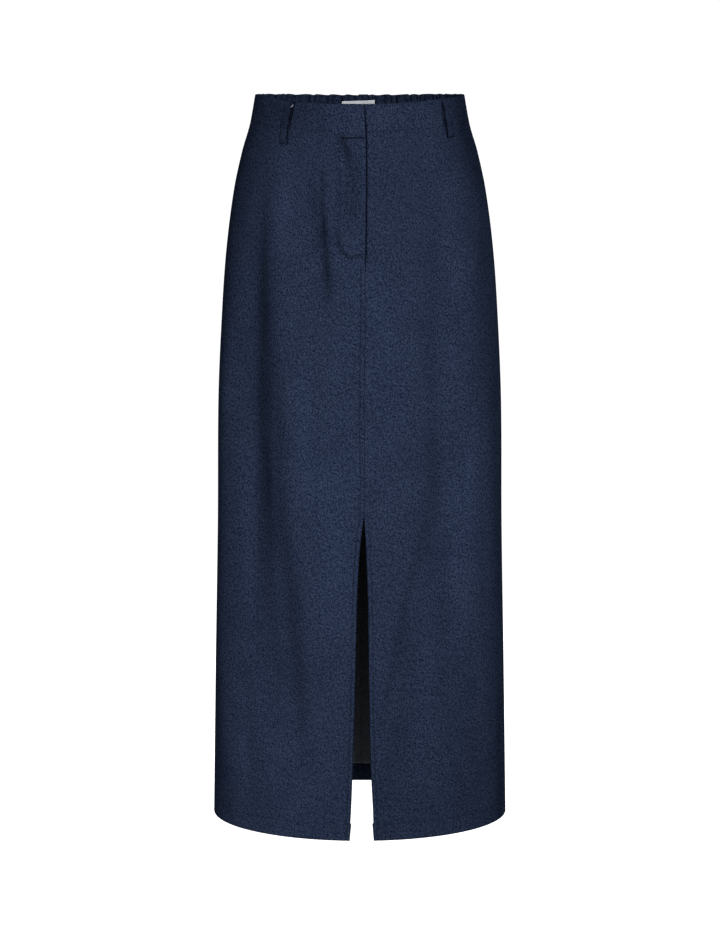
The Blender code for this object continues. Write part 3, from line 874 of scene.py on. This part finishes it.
def back_panel(side):
    count, drop = np.meshgrid(BACK_COUNTS, BACK_ROWS)
    angle = gather_angle(side, count, drop)
    depth = back_depth(side, count, drop)
    rate = arc_rate(angle, drop)
    outwards = closing(GATHERS_A_SIDE - count) - closing(count)
    angle = angle + side * outwards * (SEAM / 2 + SEAM_MEETS) / rate
    seams = from_ends(angle, rate)
    thick = CLOTH + FACING * doubled(drop - LENGTH + HEM)
    inset = np.minimum(panel_insets(drop, seams), thick / 2 - PANEL_EDGE)
    # Painted shade in the valleys between the gathers, along the hem's stitches and along the seams
    gathered = gather_painted_shade(side, count) * 0.6 * ease(1 - (drop - BAND_HEIGHT) / (GATHER_FADE * 0.9))
    wear_and_painted_shade = most(gathered, stitched_hem(drop, *HEM_MARK), crease(np.minimum(*seams), *SEAM_MARK))
    past_fold = drop - LENGTH + HEM
    # Inside, the turned-up hem is painted paler with a painted highlight along its upper edge, and above
    # it are painted streaks of shade and highlight
    folded = ease(past_fold)
    turned_up = TURNED_UP_SHADE * folded + crease(past_fold + 1.2, *TURNED_UP_MARK)
    turned_up = turned_up + 0.13 * np.sin(8.0 * count + side) * (1 - folded)
    return shell(f"back_{SIDES[side]}_cloth", angle, drop, depth + inset, thick - 2 * inset,
                 drop > LENGTH - HEM - FACE_ABOVE_HEM, painted_shades=(wear_and_painted_shade, turned_up))


# ------------ seam allowances inside

ALLOWANCE_CLOTH = 0.9
ALLOWANCE_ROWS = np.linspace(PANEL_TOP + 1.5, LENGTH - HEM - 1, 190)
ALLOWANCE_ACROSS = np.array([-1.6, -1.4, -1.0, 0, 1.5, 3, 4.5, 6, 7.5, 8.6, 9.0, 9.2])
OPEN_ACROSS = np.array([-6, -5.8, -5.4, -4, -2, 0, 2, 4, 5.4, 5.8, 6])


def allowance(name, seam, towards, side):
    """A strip of overlocked edges lying against the wall's inside, from a seam to one side of it."""
    drop = ALLOWANCE_ROWS[:, None]
    rate = arc_rate(seam, drop)
    wander = 0.5 * np.sin(drop / 23) + 0.35 * np.sin(drop / 7.7 + 1)
    across = ALLOWANCE_ACROSS + wander * np.linspace(0, 1, len(ALLOWANCE_ACROSS))
    angle = seam + towards * across / rate
    drop = np.broadcast_to(drop, angle.shape)
    counts = np.linspace(0, GATHERS_A_SIDE, 521)
    panel = np.empty(angle.shape)
    for k, level in enumerate(ALLOWANCE_ROWS):
        places = side * gather_angle(side, counts, level)
        count = np.interp(side * angle[k], places, counts)
        panel[k] = back_depth(side, count, np.full(count.shape, level))
    lift = 0.2 * (1 + np.sin(drop / 31 + 2)) * np.linspace(0, 1, angle.shape[1])
    edge = np.minimum(across - across[:, :1], across[:, -1:] - across)
    inset = np.minimum(soft_edge(edge, ALLOWANCE_CLOTH / 2), ALLOWANCE_CLOTH / 2 - THIN_EDGE)
    return shell(name, angle, drop, panel + CLOTH + LIE_ON + lift + inset, ALLOWANCE_CLOTH - 2 * inset)


def open_allowance():
    """The front seam's edges, pressed open behind it between the fly and the slit."""
    rows = np.linspace(FLY_END + 8, SLIT_TOP - 3, 90)[:, None]
    edge = centre_edge(-1, rows)
    angle = edge + OPEN_ACROSS / arc_rate(edge, rows)
    inset = soft_edge(OPEN_ACROSS[-1] - np.abs(OPEN_ACROSS), 0.4)
    return shell("centre_front_allowance", angle, np.broadcast_to(rows, angle.shape),
                 CLOTH + FACING + LIE_ON + inset, ALLOWANCE_CLOTH - 2 * inset)


def build_allowances():
    drop = ALLOWANCE_ROWS[:, None]
    for side, word in SIDES.items():
        seam = np.full(drop.shape, side * math.pi / 2)
        settle(allowance(f"side_{word}_allowance", seam, side, side), "denim")
    centre = math.pi - np.arcsin(CENTRE_BACK / along(SECTIONS, drop)[0])
    settle(allowance("centre_back_allowance", centre, -1, 1), "denim")
    settle(open_allowance(), "denim")


# ------------ waistband

BAND_ROWS = np.array([0, 0.06, 0.2, 0.45, 0.8, 1.2, 2, 3.5, 6, 9, 12.5, 16, 20, 24, 28, 31, 33, 34.3,
                      34.9, 35.2, 35.4, 35.5])
BAND_ENDS = np.array([0, 0.0012, 0.004, 0.009])
BAND_STEPS = 8


def band_insets(drop, ends):
    inset = most(soft_edge(drop, FLAT_BAND / 2), soft_edge(BAND_HEIGHT - drop, BAND_SEAM_ROLL),
                 *(soft_edge(distance, BAND_END_ROLL) for distance in ends))
    return np.minimum(inset, FLAT_BAND / 2 - THIN_EDGE)


def front_band(side):
    drop = BAND_ROWS[:, None]
    lap_end = centre_edge(-1, drop)
    rate = arc_rate(lap_end, drop)
    seam = float(side_seam(side, 0.0))
    start = lap_end if side < 0 else lap_end - UNDERLAP / rate
    share = np.concatenate([BAND_ENDS, np.linspace(0.014, 0.986, 210), 1 - BAND_ENDS[::-1]])
    angle = start + (seam - start) * share
    past_lap = (angle - lap_end) * rate
    drop = np.broadcast_to(drop, angle.shape)
    inset = band_insets(drop, from_ends(angle, arc_rate(angle, drop)))
    # Painted shade along the band's stitches, beside the front loops and in the folds' hollows
    wear_and_painted_shade = most(crease(BAND_HEIGHT - BAND_STITCH - drop, *BAND_MARK), loop_shadow(angle, drop))
    wear_and_painted_shade = wear_and_painted_shade + fold_depth(angle, drop, PAINTED_FOLD_SHADE)
    if side < 0:
        depth = crease(-past_lap - LAP_CREST_FROM, *BAND_LAP_CREST) - lap_rise(-past_lap)
        # A painted highlight along the right band's lapping edge
        wear_and_painted_shade = wear_and_painted_shade + crease(-past_lap - PALE_FROM, *BAND_LAP_MARK)
    else:
        depth = underlap_depth(past_lap) + 0.6 * lap_groove(past_lap, 0.4, 1.3)
        # A painted shadow on the left band along the right band's lapping edge, darker lower down
        shade = 0.52 + 0.3 * ease((drop - 3) / 30)
        wear_and_painted_shade = most(wear_and_painted_shade, shade * ease((3.4 - past_lap) / 2.6))
    drop = drop + fly_droop(side, -past_lap) * drop / BAND_HEIGHT
    return shell(f"waistband_front_{SIDES[side]}_cloth", angle, drop, depth + inset,
                 FLAT_BAND - 2 * inset, wrong=FACE, painted_shades=(wear_and_painted_shade, 0))


def back_band():
    """The gathered band, from the left side seam round the back to the right one."""
    steps = np.arange(0, GATHERS_A_SIDE * BAND_STEPS) / BAND_STEPS
    steps = np.concatenate([[0, 0.02, 0.06], steps[1:]])
    side = np.concatenate([np.ones(len(steps)), -np.ones(len(steps) + 1)])
    count = np.concatenate([steps, [GATHERS_A_SIDE], steps[::-1]])
    count, drop = np.meshgrid(count, BAND_ROWS)
    side = np.broadcast_to(side, count.shape)

    def joined(left, right):
        return np.where(side > 0, left, right)

    angle = joined(gather_angle(1, count, drop), gather_angle(-1, count, drop) + 2 * math.pi)
    height = joined(gather(1, count), gather(-1, count))
    full = 0.75 + 0.25 * np.sin(math.pi * drop / BAND_HEIGHT)
    rate = arc_rate(angle, drop)
    angle = angle - side * closing(count) * (SEAM / 2 + SEAM_MEETS) / rate
    thick = ELASTIC_BAND + (LINING_RISE + GATHER_RISE) * height * full
    inset = np.minimum(band_insets(drop, from_ends(angle, rate)), thick / 2 - THIN_EDGE)
    # Painted shade in the gathers' valleys outside; inside, painted shade in the deep valleys and a
    # painted highlight on the crests
    wear_and_painted_shade = joined(gather_painted_shade(1, count), gather_painted_shade(-1, count))
    wave = (0.25 + 0.30 * ease((count - 6) / 6)) * ease(1 - drop / 12)
    drop = drop + wave * np.sin(2.4 * count + 2 * side + 0.9 * np.sin(1.1 * count))
    return shell("waistband_back_cloth", angle, drop, inset - GATHER_RISE * height * full,
                 thick - 2 * inset, wrong=FACE,
                 painted_shades=(0.6 * wear_and_painted_shade, np.minimum(2.3 * wear_and_painted_shade - 1.05, 0.9)))


# ------------ loops and label

LOOP_PRESS = 0.7
LOOP_THINS = 0.35
LOOP_END_ROLL = 0.8
LOOP_EDGE = 0.06
LOOP_STEPS = [0, 0.1, 0.35, 0.7, 1.2, 2]
LABEL_STEPS = [0, 0.1, 0.3, 0.6, 1.2]
LABEL_DEPTH = ELASTIC_BAND + LINING_RISE + SEAM


def loop_lean(loop, across):
    """0 at a loop's edge towards the front, which stands up, and 1 at its other, pressed flatter."""
    return ease(0.5 + across * np.sign(loop.angle) / LOOP_WIDTH)


def loop_swing(loop, share):
    """How far a loop leans to one side at its top and, less, at its foot."""
    return loop.swing * ((1 - share)**3 + 0.5 * ease((share - 0.5) / 0.5))


def loop_place(loop, across, share):
    """Angle, drop and depth of a place on a loop's outer face."""
    drop = loop.top + (loop.foot - loop.top) * share
    middle = math.radians(loop.angle)
    angle = middle + (across + loop_swing(loop, share)) / arc_rate(middle, drop)
    bow = LOOP_BOW * ease(5 * share) * ease(5 * (1 - share))
    lean = loop_lean(loop, across)
    out = (1 - LOOP_PRESS * lean) * bow + LOOP_CLOTH * (1 - LOOP_THINS * lean)
    return angle, drop, -out - SEAM - loop.stand_off


def loop_painted_shade(across, low):
    """Painted shade on a loop, by the distance from its middle, towards the front, and from its foot:
    in the gap under its inner edge, at its foot, along its stitches and down its outer edge near the
    foot, with a painted highlight along that edge higher up.
    """
    inner = LOOP_WIDTH / 2 + across
    gap = 1.0 + 0.6 * ease((24 - low) / 8)
    wear_and_painted_shade = most(crease(inner, gap, LOOP_GAP_SHADE),
                crease(np.minimum(low, 4), *LOOP_FOOT_MARK),
                crease(np.abs(across) - LOOP_STITCH, *LOOP_STITCH_MARK),
                crease(LOOP_WIDTH - inner, *LOOP_SIDE_MARK) * ease((19 - low) / 8))
    return wear_and_painted_shade + crease(LOOP_WIDTH - inner, *LOOP_CREST_MARK) * ease((low - 20) / 8)


def belt_loop(loop):
    tall = loop.foot - loop.top
    across, down = np.meshgrid(spread(LOOP_WIDTH, LOOP_STEPS, 15) - LOOP_WIDTH / 2,
                               spread(tall, LOOP_STEPS, 40))
    angle, drop, depth = loop_place(loop, across, down / tall)
    inset = most(soft_edge(LOOP_WIDTH / 2 - np.abs(across), LOOP_CLOTH / 2),
                 soft_edge(np.minimum(down, tall - down), LOOP_END_ROLL))
    inset = np.minimum(inset, LOOP_CLOTH / 2 - LOOP_EDGE)
    groove = crease(np.abs(across) - LOOP_STITCH, *LOOP_GROOVE)
    keeps = 1 - LOOP_THINS * loop_lean(loop, across)
    # Painted shade on the loop's outer face and in the folds' hollows, and painted shade all over its
    # inner face
    wear_and_painted_shade = loop_painted_shade(across * np.sign(loop.angle), tall - down) + fold_depth(angle, drop, PAINTED_FOLD_SHADE)
    name = loop.node.replace("belt_loop", "loop") + "_cloth"
    return shell(name, angle, drop, depth + inset * keeps + groove,
                 (LOOP_CLOTH - 2 * inset) * keeps - groove,
                 wrong=FACE, painted_shades=(wear_and_painted_shade, LOOP_INSIDE_SHADE))


def loop_shadow(angle, drop):
    """Painted shadow in the gap beside each front loop, on the side towards the centre."""
    dark = np.zeros(angle.shape)
    for loop in FRONT_LOOPS:
        share = np.clip((drop - loop.top) / (loop.foot - loop.top), 0, 1)
        middle = math.radians(loop.angle)
        across = (angle - middle) * arc_rate(middle, drop) - loop_swing(loop, share)
        beside = -np.sign(loop.angle) * across - LOOP_WIDTH / 2
        dark = most(dark, crease(beside, *LOOP_SHADOW) * ease((drop - loop.top - 2) / 6))
    return dark


def label_surface(across, down):
    drop = LABEL_DROP + down + math.tan(math.radians(LABEL_LEAN)) * across
    middle = math.pi - LABEL_CENTRE / SECTIONS[0].half_width
    return middle + across / arc_rate(middle, drop), drop


def build_label():
    across, down = np.meshgrid(spread(LABEL_WIDTH, LABEL_STEPS, 40) - LABEL_WIDTH / 2,
                               spread(LABEL_HEIGHT, LABEL_STEPS, 18))
    angle, drop = label_surface(across, down)
    waves = 0.18 * np.sin(across / 5.3) + 0.12 * np.sin(across / 2.9 + down / 7)
    edge = np.minimum(LABEL_WIDTH / 2 - np.abs(across), np.minimum(down, LABEL_HEIGHT - down))
    inset = np.minimum(soft_edge(edge, LABEL_CLOTH / 2), LABEL_CLOTH / 2 - THIN_EDGE)
    made = shell("label_tape", angle, drop, LABEL_DEPTH + inset + waves, LABEL_CLOTH - 2 * inset)
    dress(made, LABEL)
    made.data.polygons.foreach_set("material_index", np.zeros(len(made.data.polygons), dtype=np.int32))
    return made


def dress(made, material):
    made.data.materials.clear()
    made.data.materials.append(material)


# ------------ cloth and sewing


def build_cloth():
    for side, word in SIDES.items():
        front = settle(front_panel(side), "denim", f"front_{word}_panel")
        back = settle(back_panel(side), "denim", f"back_{word}_panel")
        band = settle(front_band(side), "denim", f"waistband_front_{word}")
    band = settle(back_band(), "denim", "waistband_back")
    for loop in LOOPS:
        made = settle(belt_loop(loop), "denim", loop.node)
    label = settle(build_label(), "label_tape", "waist_label")
    build_allowances()


def sew(name, runs, hole):
    settle(stitches(f"{name}_stitches", runs), "denim")
    settle(needle_holes(f"{name}_needle_holes", runs, hole), "denim")


def fly_runs():
    runs = []
    for inset in J_INSETS:
        path = j_path(inset)
        from_edge, drops = path[path[:, 1] > PANEL_TOP + 1].T
        edge = centre_edge(-1, drops)
        droop = fly_droop(-1, from_edge) * droop_fade(drops)
        runs.append(run_along(edge - from_edge / arc_rate(edge, drops), drops + droop,
                              front_depth(-1, drops, from_edge)))
    return runs


def band_runs():
    """The waistband's edge stitching, along its lower edge."""
    level = BAND_HEIGHT - BAND_STITCH
    lap = float(centre_edge(-1, level))
    rate = float(arc_rate(lap, level))
    side = math.pi / 2 - 0.012
    right = np.linspace(-side, lap - 2.5 / rate, 500)
    left = np.linspace(lap + 3.2 / rate, side, 500)
    from_lap = (lap - right) * rate
    return [run_along(right, level + fly_droop(-1, from_lap) * level / BAND_HEIGHT, -lap_rise(from_lap)),
            run_along(left, np.full(left.shape, level), underlap_depth((left - lap) * rate))]


def centre_runs():
    """Topstitching down both edges of the slit, and above it beside the seam."""
    slit = np.linspace(SLIT_TOP + 4, LENGTH - 2, 200)
    seam = np.linspace(FLY_END + 5, SLIT_TOP + 2, 150)
    runs = []
    for side, drops in ((-1, slit), (1, slit), (-1, seam)):
        edge = centre_edge(side, drops)
        depth = front_depth(side, drops, np.full(drops.shape, TOPSTITCH))
        runs.append(run_along(edge + side * TOPSTITCH / arc_rate(edge, drops), drops, depth))
    return runs


def hem_run():
    """The hem's stitching, from the slit's left edge round the back to its right edge."""
    level = LENGTH - HEM_STITCH
    left, right = (float(centre_edge(side, level)) for side in (1, -1))
    angle = np.linspace(left + HEM_RUN_STARTS, right + 2 * math.pi - HEM_RUN_STARTS, 1500)
    return run_along(angle, np.full(angle.shape, level), np.full(angle.shape, HEM_GROOVE[1]))


def loop_runs():
    """Two lines down each loop, and four close together across its top and its foot."""
    runs = []
    for loop in LOOPS:
        for across in (-LOOP_STITCH, LOOP_STITCH):
            angle, drops, depth = loop_place(loop, across, np.linspace(0.04, 0.96, 60))
            runs.append(run_along(angle, drops, depth + LOOP_GROOVE[1]))
        across = np.linspace(-LOOP_STITCH, LOOP_STITCH, 30)
        for end in (0.045, 0.93):
            for k in range(4):
                runs.append(run_along(*loop_place(loop, across, np.full(30, end + k * 0.008))))
    return runs


def build_sewing():
    sew("fly", fly_runs(), 1.3)
    sew("waistband", band_runs(), 0.8)
    sew("centre", centre_runs(), 0.9)
    sew("hem", [hem_run()], 0.6)
    sew("loop", loop_runs(), 0.6)
    build_loose_thread()
    build_label_stitches()
    build_zip_teeth()


def build_loose_thread():
    """A short pale thread end left at the top of the right front loop."""
    share = np.linspace(0.13, 0.03, 12)
    angle, drop, depth = loop_place(LOOPS[0], np.linspace(4.4, 6.4, 12), share)
    run = run_along(angle, drop, depth - 0.5, pitch=5)
    settle(stitches("loose_thread", [run], THREAD_LOOSE, 4.8, 0.65), "label_tape")


def build_label_stitches():
    runs = []
    out = LABEL_WIDTH / 2 - 1.6
    for across in (-out, out):
        angle, drop = label_surface(np.full(40, across), np.linspace(1, LABEL_HEIGHT - 1, 40))
        middles, directions, outward = run_along(angle, drop, LABEL_DEPTH + LABEL_CLOTH)
        runs.append((middles, directions, -outward))
    settle(stitches("label_stitches", runs, THREAD_PALE), "label_tape")


# ------------ closure

ZIP_TOP = 68
ZIP_FOOT = 182
ZIP_MIDDLE = -0.6
ZIP_DEPTH = 5.4
ZIP_PITCH = 2.0
TOOTH = (2.6, 1.0, 0.9)
TOOTH_SHIFT = 0.9


def build_zip_teeth():
    """The closed zip's teeth on the inside of its tape, below the slider, as meshed bars."""
    points, faces = [], []
    corners = np.array([(x, y, z) for x in (-1, 1) for y in (-1, 1) for z in (-1, 1)]) / 2
    box = [(0, 1, 3, 2), (4, 6, 7, 5), (0, 4, 5, 1), (2, 3, 7, 6), (0, 2, 6, 4), (1, 5, 7, 3)]
    for k, drop in enumerate(np.arange(ZIP_TOP, ZIP_FOOT, ZIP_PITCH / 2)):
        shift = TOOTH_SHIFT if k % 2 else -TOOTH_SHIFT
        here = skin(angle_of(ZIP_MIDDLE + shift, drop), drop, ZIP_DEPTH + TOOTH[2] / 2)
        faces += [tuple(8 * k + i for i in f) for f in box]
        points.append(here + corners * (TOOTH[0], TOOTH[2], TOOTH[1]))
    made = add_mesh("zip_teeth", np.concatenate(points), faces, [STEEL], smooth=False)
    settle(made, "fastener_metal")


def finish_fasteners():
    """The hidden solids that no piece replaces get their own materials."""
    materials = {"zip_tape": ZIP_CLOTH, "zip_slider": STEEL, "waist_hook": STEEL, "waist_bar": STEEL}
    for solid in bpy.data.objects:
        if solid.name in materials:
            dress(solid, materials[solid.name])


# ------------ stage, light and camera

# The floor runs out flat and then curves up all round, as studio paper does: distances out and
# heights
FLOOR_PROFILE = [(10, -1340), (6000, -1340), (11000, -1340), (13500, -1280), (15200, -1000),
                 (16400, -400), (17000, 800), (17200, 3400)]
FLOOR_SIDES = 72

# The lamps and the camera stand in metres. A lamp has a name, a place, a size and its watts
LAMPS = [("left", (-1.5, -1.6, -0.9), 0.6, 18), ("front", (0.3, -1.6, -0.3), 0.35, 34.5),
         ("front_high", (0.5, -1.6, 0.7), 0.35, 19), ("behind", (-0.75, 2.5, 0.2), 0.9, 100),
         ("behind_right", (0.9, 2.4, 0.0), 0.9, 55)]
LAMPS_AIM = (0, 0, -LENGTH * MM / 2)
WORLD_LIGHT = 0.2

LENS = 86.33
SENSOR = 36
CAMERA_PLACE = (0.0003, -2.85, 0.08)
CAMERA_LOOKS_DOWN = 11.06


def build_stage():
    """Glowing white paper all round, which leaves the cloth's lighting to the lamps and the world."""
    points = np.array([(out * math.cos(turn), out * math.sin(turn), height)
                       for out, height in FLOOR_PROFILE for turn in round_steps(FLOOR_SIDES)[:, 0]])
    index = np.arange(len(points)).reshape(-1, FLOOR_SIDES)
    after = np.roll(index, -1, 1)
    faces = np.stack([index[:-1], after[:-1], after[1:], index[1:]], -1)
    material, tree, shader = principled("pale_floor")
    fill(tree, shader, {"Base Color": (0.2, 0.2, 0.2), "Roughness": 0.9,
                        "Emission Color": (1, 1, 1), "Emission Strength": 1.0})
    floor = add_mesh("floor", points, faces.reshape(-1, 4).tolist() + [index[0].tolist()], [material])
    floor.visible_diffuse = False


def area_light(name, location, size, energy):
    data = bpy.data.lights.new(name, "AREA")
    data.size = size
    data.energy = energy
    lamp = place(name, data)
    lamp.location = location
    x, y, z = np.array(LAMPS_AIM) - np.array(location)
    lamp.rotation_euler = (math.atan2(math.hypot(x, y), -z), 0, math.atan2(x, -y) + math.pi)
    lamp.visible_camera = False


def build_lights():
    world = bpy.data.worlds.new("studio")
    bpy.context.scene.world = world
    world.use_nodes = True
    fill(world.node_tree, world.node_tree.nodes["Background"],
         {"Color": (1, 1, 1), "Strength": WORLD_LIGHT})
    for lamp in LAMPS:
        area_light(*lamp)


def build_camera():
    data = bpy.data.cameras.new("camera")
    data.lens = LENS
    data.sensor_width = SENSOR
    camera = place("camera", data)
    camera.location = CAMERA_PLACE
    camera.rotation_euler = (math.radians(90 - CAMERA_LOOKS_DOWN), 0, 0)
    bpy.context.scene.camera = camera


build_camera()
build_cloth()
build_sewing()
finish_fasteners()
build_stage()
build_lights()
bpy.context.scene.view_settings.view_transform = "Standard"
